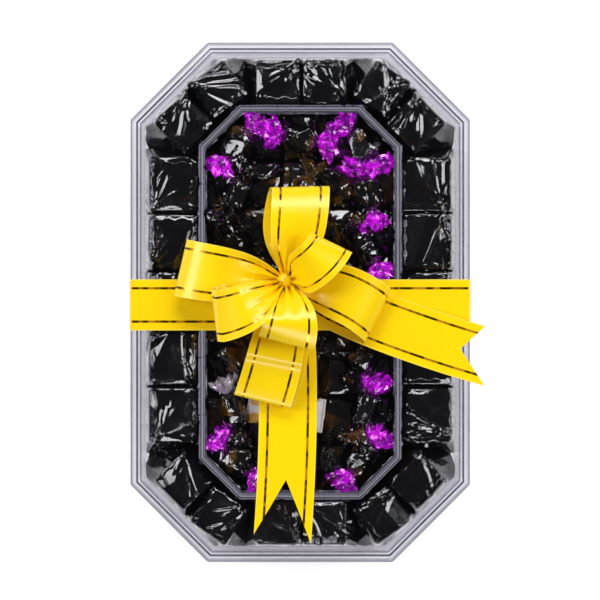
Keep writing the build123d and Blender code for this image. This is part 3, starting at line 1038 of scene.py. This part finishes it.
def make_band(looks, satin):
    """The band: across the lid, down both sides and tucked under the skirt's foot."""
    low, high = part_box("ribbon_band")
    side = high.x - looks.thickness / 2
    top = high.z - looks.thickness / 2
    foot = low.z + looks.thickness / 2
    bend = 0.0010
    hem = 0.0013
    right = ((0.6 * high.x, top), (side - 4 * bend, top), (side - 2 * bend, top), (side - bend, top),
             (side - 0.3 * bend, top - 0.3 * bend), (side, top - bend), (side, top - 2 * bend),
             (side, (low.z + high.z) / 2), (side, foot + 2 * bend), (side, foot + bend),
             (side - 0.3 * bend, foot + 0.3 * bend), (side - hem, foot))
    left = tuple((-x, z) for x, z in reversed(right))
    route, length = smooth_route(left + right, 420)
    piece = grid("band", 419, 20)
    unit = read_points(piece)
    x, z = on_route(route, unit[:, 0]).T
    across = unit[:, 1] * looks.width
    write_points(piece, np.column_stack((x, low.y + across, z)))
    write_uv(piece, unit[:, 0] * length, looks.width / 2 - np.abs(across - looks.width / 2))
    clean_mesh(piece, gap=0.00001)
    finish_ribbon(piece, looks, satin, "ribbon_band")


# Bow
class Loop(NamedTuple):
    """A loop of the bow. Its headings and its angle are in degrees, its heights are over the lowest run."""
    end: tuple                # where the middle of its far fold lies from the knot
    heading: float            # the ribbon's heading there
    fold_heading: float       # the heading that the fold faces
    half_angle: float         # how widely it opens from the knot
    foot: float = 0.0         # height of its lower run at the knot
    head: float = 0.0045      # height of its upper run at the knot
    rise: float = 0.0         # how much higher its fold lies
    fullness: float = 1.0     # the share of the ribbon's width to which it opens
    lean: float = 0.0         # how far its lower run leans to the left
    bend: float = 1.0         # how broad its fold is
    late: float = 0.0         # how late its upper run reaches its crown
    droop: float = 0.0        # how much its upper run droops towards the fold


UPPER = {"foot": 0.0080, "head": 0.0118, "rise": 0.0120}
LOOPS = {
    "loop_bottom": Loop((-0.0137, -0.0707), -109, -104, 30, lean=0.003, bend=2.0, late=0.6, droop=0.38),
    "loop_left": Loop((-0.0616, 0.0078), 168, 167, 34),
    "loop_right": Loop((0.0545, -0.0200), -40, -27, 40, lean=-0.006),
    "loop_top": Loop((0.0089, 0.0551), 90, 91.4, 38, lean=0.0045, bend=1.15),
    "loop_upper_right": Loop((0.0268, 0.0222), 62, 64, 76, fullness=0.78, bend=0.8, **UPPER),
    "loop_lower_left": Loop((-0.0412, -0.0210), 188, 187, 34, fullness=0.92, lean=-0.003, **UPPER),
    "loop_front": Loop((0.0005, -0.0364), -108, -105, 42, bend=0.9, late=1.0, droop=0.2, **UPPER),
}
PLEAT_COUNT = 3
BEND_SHARE = 0.48            # where a loop's middle line bends, as a share of its way
LOOP_NECK = 0.0040           # how near the knot's middle a loop starts
CURL = 0.0080                # about half the height of a fold
RUN_LIFT = 0.0006            # how far a lower run lifts off what it lies on
PLEAT_DIP = 0.0002           # how far its pleats reach down at most
TAIL_GAP = 0.0003            # between a loop and the tail under it
NECK_WIDTH = 0.0028          # half the width of a gathered ribbon at the knot


def knot_centre():
    low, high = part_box("knot")
    return Vector(((low.x + high.x) / 2, (low.y + high.y) / 2, low.z))


def plan_line(end, heading):
    """A bent line from the knot to an end that it meets at a heading: its points, directions and length."""
    end = np.array(end)
    turn = end - way_at(radians(heading)) * np.hypot(*end) * BEND_SHARE
    share = np.linspace(0.0, 1.0, 200)[:, None]
    line = 2 * share * (1 - share) * turn + share ** 2 * end
    ways = np.gradient(line, axis=0)
    return line, ways / np.linalg.norm(ways, axis=1)[:, None], lengths_along(line)


def follow(line, ways, lengths, out, side):
    """Places at a distance out along a bent line and to the left of it, counted from the knot."""
    way = read_between(out, lengths, ways)
    place = read_between(out, lengths, line)
    past = np.maximum(out - lengths[-1], 0.0)
    beside = np.column_stack((-way[:, 1], way[:, 0]))
    return place + way * past[:, None] + beside * side[:, None] + np.array(knot_centre()[:2])


def loop_stops(loop, reach, base):
    """The places that a loop's middle line goes through: out along the lid, and up."""
    near = base + loop.foot
    far = near + loop.rise
    back = base + loop.head
    crown = far + 2.15 * CURL - base - loop.head
    return ((LOOP_NECK, near), (0.35 * reach, near + 0.25 * loop.rise + RUN_LIFT),
            (0.62 * reach, near + 0.6 * loop.rise), (reach - 1.3 * CURL, far + RUN_LIFT / 2),
            (reach - 0.4 * CURL, far + 0.24 * CURL), (reach, far + 0.80 * CURL),
            (reach - 0.4 * loop.bend * CURL, far + (1.40 - 0.6 * loop.droop) * CURL),
            (reach - 1.3 * loop.bend * CURL, far + (1.93 - loop.droop) * CURL),
            (0.60 * reach, back + (0.98 - 0.11 * loop.late) * crown),
            (0.36 * reach, back + (0.76 - 0.12 * loop.late) * crown),
            (0.18 * reach, back + (0.38 - 0.05 * loop.late) * crown), (LOOP_NECK, back))


def make_loop(node, loop, looks, satin, number):
    """One loop: out from the knot, round its far fold and back over itself, gathered at the knot."""
    line, ways, lengths = plan_line(loop.end, loop.heading)
    reach = lengths[-1]
    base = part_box("tail_front")[1].z + TAIL_GAP + looks.thickness / 2
    route, length = smooth_route(loop_stops(loop, reach, base), 170)
    piece = grid(node.replace("loop", "bow"), 169, 48)
    unit = read_points(piece)
    out, up = on_route(route, unit[:, 0]).T
    slope = np.gradient(route, axis=0)
    tangent = on_route(slope / np.linalg.norm(slope, axis=1)[:, None], unit[:, 0])
    half_width = looks.bow_width / 2
    across = (unit[:, 1] - 0.5) * looks.bow_width
    opening = np.tanh(1.25 * (NECK_WIDTH + (out - LOOP_NECK) * tan(radians(loop.half_angle))) / half_width)
    dice = np.random.default_rng(50 + number)
    wave = PLEAT_COUNT * unit[:, 1] + dice.uniform(0, 1)
    zigzag = 2.0 * np.abs(2.0 * (wave - np.floor(wave + 0.5))) - 1.0
    shift = zigzag * looks.bow_width / (4 * PLEAT_COUNT) * clamped(1.0 - 1.2 * opening ** 2) * 0.8
    lower = clamped(1.0 - unit[:, 0] * 2.0)
    side = across * opening * loop.fullness + loop.lean * np.sin(lower * pi) ** 0.8
    turned = tan(radians(loop.fold_heading - loop.heading))
    out = out - tangent[:, 1] * shift - side * turned * clamped(out / reach) ** 2
    up = np.maximum(up + tangent[:, 0] * shift, base + loop.foot - PLEAT_DIP)
    write_points(piece, np.column_stack((follow(line, ways, lengths, out, side), up)))
    write_uv(piece, unit[:, 0] * length, half_width - np.abs(across))
    clean_mesh(piece, gap=0.00001)
    finish_ribbon(piece, looks, satin, node)


# The tails: where the middle between the two tips lies from the knot, the heading there, how far the left
# and the right tip and the notch lie along the tail, and how widely it opens from the knot, in degrees.
TAILS = {
    "tail_front": ((-0.0020, -0.1519), -94.4, 0.1535, 0.1503, 0.117, 30),
    "tail_right": ((0.1173, -0.0442), -16.0, 0.1206, 0.1302, 0.1103, 30),
}


def make_tail(node, row, looks, satin, number):
    """One tail: flat on the lid from the knot out to its two points."""
    end, heading, left_tip, right_tip, notch, half_angle = row
    low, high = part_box(node)
    piece = grid(node.replace("tail", "streamer"), 240, 32)
    unit = read_points(piece)
    neck = 0.0046
    wave_height = 0.0006
    wave_step = 0.017
    width = looks.bow_width
    across = (unit[:, 1] - 0.5) * width
    share = 1.0 - 2.0 * unit[:, 1]
    tip = np.where(share < 0, left_tip, right_tip)
    run = neck + (notch + (tip - notch) * np.abs(share) - neck) * unit[:, 0]
    gather = np.tanh(1.5 * (NECK_WIDTH + (run - neck) * tan(radians(half_angle))) / (width / 2))
    dice = np.random.default_rng(90 + number)
    waves = wave_height * np.sin(run / wave_step + dice.uniform(0, 6)) * clamped((run - 0.04) / 0.03)
    level = (low.z + high.z) / 2 + waves * (1.0 + 0.5 * across / width)
    level = np.maximum(level, low.z + looks.thickness / 2)
    line, ways, lengths = plan_line(end, heading)
    write_points(piece, np.column_stack((follow(line, ways, lengths, run, across * gather), level)))
    write_uv(piece, run, width / 2 - np.abs(across))
    clean_mesh(piece, gap=0.00001)
    finish_ribbon(piece, looks, satin, node)


def make_knot(satin):
    """The knot: a crumpled bead of ribbon on the gathered middle."""
    low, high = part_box("knot")
    centre = knot_centre()
    radius = (high.x - low.x) / 2
    piece = start_primitive(bpy.ops.mesh.primitive_ico_sphere_add, "bow_knot", subdivisions=6, radius=1.0)
    unit = read_points(piece)
    dice = np.random.default_rng(31)
    height = high.z - low.z
    squared = (1.0 - unit[:, 2] ** 4) ** 0.25 / np.sqrt(np.maximum(1.0 - unit[:, 2] ** 2, 0.01))
    points = unit * (radius * 1.14, radius * 1.04, height * 0.5)
    points[:, :2] = points[:, :2] * squared[:, None]
    angle = np.arctan2(unit[:, 1], unit[:, 0])
    groove = pleats(angle + unit[:, 2] * 1.5, dice, 7) * np.sqrt(clamped(1 - unit[:, 2] ** 2))
    points[:, :2] = points[:, :2] * (1.0 + 0.10 * groove)[:, None]
    cloth = np.column_stack((angle * radius, unit[:, 2] * height * 0.5))
    lift = random_creases(cloth, dice, 26, height=0.0007, half=0.0012, reach=0.008)
    points = points + unit * lift[:, None]
    points[:, 2] = points[:, 2] + height * 0.5
    write_points(piece, points + np.array(centre))
    write_uv(piece, angle * radius, (unit[:, 2] + 1) * height * 0.5)
    smooth(piece, 35)
    piece.data.materials.append(satin)
    hand_over(piece, "knot", "lid")


# Stage
FLOOR_SIZE = 8.0
FLOOR_GAP = 0.0003           # between the box and the floor
CAMERA_PLACE = (-0.0001, 0.0013)
SENSOR_WIDTH = 36.0

# Each lamp's name, place, size and power
LAMPS = (
    ("lamp_back", (0.0, 1.25, 1.15), (1.3, 0.55), 17.5),
    ("lamp_left", (-1.25, 0.25, 1.00), (0.55, 1.2), 12.8),
    ("lamp_right", (1.25, 0.15, 1.00), (0.55, 1.2), 12.8),
    ("lamp_front", (0.0, -1.35, 1.00), (1.1, 0.45), 9.5),
)


def make_stage(looks):
    """The floor, the lamps, the dim light all round and the camera, which looks straight down."""
    floor = start_primitive(bpy.ops.mesh.primitive_plane_add, "floor", size=FLOOR_SIZE,
                            location=(0, 0, -FLOOR_GAP))
    floor.data.materials.append(floor_paint(looks))
    for name, place, size, energy in LAMPS:
        bpy.ops.object.light_add(type="AREA", location=place)
        lamp = bpy.context.object
        lamp.name = name
        lamp.data.shape = "RECTANGLE"
        lamp.data.size, lamp.data.size_y = size
        lamp.data.energy = energy
        lamp.rotation_euler = (-Vector(place)).to_track_quat("-Z", "Y").to_euler()
    world = bpy.data.worlds.new("studio")
    bpy.context.scene.world = world
    world.use_nodes = True
    tree = world.node_tree
    ground = tree.nodes["Background"]
    finish = Finish(tree=tree)
    dim = (looks.dusk, looks.dusk, looks.dusk * 1.05, 1)
    seen = finish.mix(finish.ray("Is Camera Ray"), dim, (1, 1, 1, 1))
    tree.links.new(seen.socket, ground.inputs["Color"])
    camera_data = bpy.data.cameras.new("camera")
    camera = bpy.data.objects.new("camera", camera_data)
    bpy.context.scene.collection.objects.link(camera)
    ribbon_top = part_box("ribbon_band")[1].z
    camera.location = (*CAMERA_PLACE, ribbon_top + looks.camera_height)
    camera_data.sensor_width = SENSOR_WIDTH
    camera_data.lens = SENSOR_WIDTH * looks.camera_height / looks.picture_width
    bpy.context.scene.camera = camera
    bpy.context.scene.view_settings.view_transform = "Standard"


def dress_node(node, material):
    """Gives a carried-over CAD piece its material."""
    mesh = frame["nodes"][node].data
    mesh.materials.clear()
    mesh.materials.append(material)


# Operators
class CHOCOLATES_OT_stage(bpy.types.Operator):
    """Sets up the floor, the lamps and the camera"""
    bl_idname = "chocolates.stage"
    bl_label = "Stage"

    def execute(self, context):
        make_stage(context.scene.stage_looks)
        return {"FINISHED"}


class CHOCOLATES_OT_box(bpy.types.Operator):
    """Gives the tray, the lid and the divider their clear plastic"""
    bl_idname = "chocolates.box"
    bl_label = "Clear Box"

    def execute(self, context):
        for node, (lines, tint) in MOULDED_EDGES.items():
            dress_node(node, clear_plastic(context.scene.plastic_looks, f"clear_{node}", sides_of(node, 0.0),
                                           lines, tint))
        return {"FINISHED"}


class CHOCOLATES_OT_blocks(bpy.types.Operator):
    """Wraps the blocks of the outer ring in black film"""
    bl_idname = "chocolates.blocks"
    bl_label = "Blocks"

    def execute(self, context):
        looks = context.scene.film_looks
        make_blocks(black_film(looks), looks.crease_height)
        return {"FINISHED"}


class CHOCOLATES_OT_sweets(bpy.types.Operator):
    """Makes the twist-wrapped sweets, the lower layer and the pale packet"""
    bl_idname = "chocolates.sweets"
    bl_label = "Sweets"

    def execute(self, context):
        looks = context.scene.film_looks
        finishes = {"wrap": twist_wrap(looks), "foil": foil(looks), "pale": cellophane()}
        make_sweets(finishes, looks.crease_height)
        make_lower_sweets(finishes["wrap"], looks.crease_height)
        make_packet(packet_film(looks), looks.crease_height)
        return {"FINISHED"}


class CHOCOLATES_OT_ribbon(bpy.types.Operator):
    """Ties the box with the band, the bow and its tails"""
    bl_idname = "chocolates.ribbon"
    bl_label = "Ribbon"

    def execute(self, context):
        looks = context.scene.ribbon_looks
        satin = ribbon_satin(looks)
        make_band(looks, satin)
        for number, (node, row) in enumerate(TAILS.items()):
            make_tail(node, row, looks, satin, number)
        for number, (node, loop) in enumerate(LOOPS.items()):
            make_loop(node, loop, looks, satin, number)
        make_knot(satin)
        return {"FINISHED"}


OPERATORS = (CHOCOLATES_OT_stage, CHOCOLATES_OT_box, CHOCOLATES_OT_blocks, CHOCOLATES_OT_sweets,
             CHOCOLATES_OT_ribbon)


class CHOCOLATES_PT_panel(bpy.types.Panel):
    """Lists the steps that make the box"""
    bl_label = "Chocolate Box"
    bl_idname = "CHOCOLATES_PT_panel"
    bl_space_type = "VIEW_3D"
    bl_region_type = "UI"
    bl_category = "Chocolate Box"

    def draw(self, context):
        for looks in (context.scene.plastic_looks, context.scene.film_looks, context.scene.ribbon_looks,
                      context.scene.stage_looks):
            box = self.layout.box()
            for name in looks.__annotations__:
                box.prop(looks, name)
        for operator in OPERATORS:
            self.layout.operator(operator.bl_idname)


LOOKS = {"plastic_looks": PlasticLooks, "film_looks": FilmLooks, "ribbon_looks": RibbonLooks,
         "stage_looks": StageLooks}


def register():
    for name, group in LOOKS.items():
        bpy.utils.register_class(group)
        setattr(bpy.types.Scene, name, PointerProperty(type=group))
    for operator in OPERATORS:
        bpy.utils.register_class(operator)
    bpy.utils.register_class(CHOCOLATES_PT_panel)


def unregister():
    bpy.utils.unregister_class(CHOCOLATES_PT_panel)
    for operator in reversed(OPERATORS):
        bpy.utils.unregister_class(operator)
    for name, group in LOOKS.items():
        delattr(bpy.types.Scene, name)
        bpy.utils.unregister_class(group)


def main():
    register()
    bpy.ops.chocolates.stage()
    bpy.ops.chocolates.box()
    bpy.ops.chocolates.blocks()
    bpy.ops.chocolates.sweets()
    bpy.ops.chocolates.ribbon()


if __name__ == "__main__":
    main()
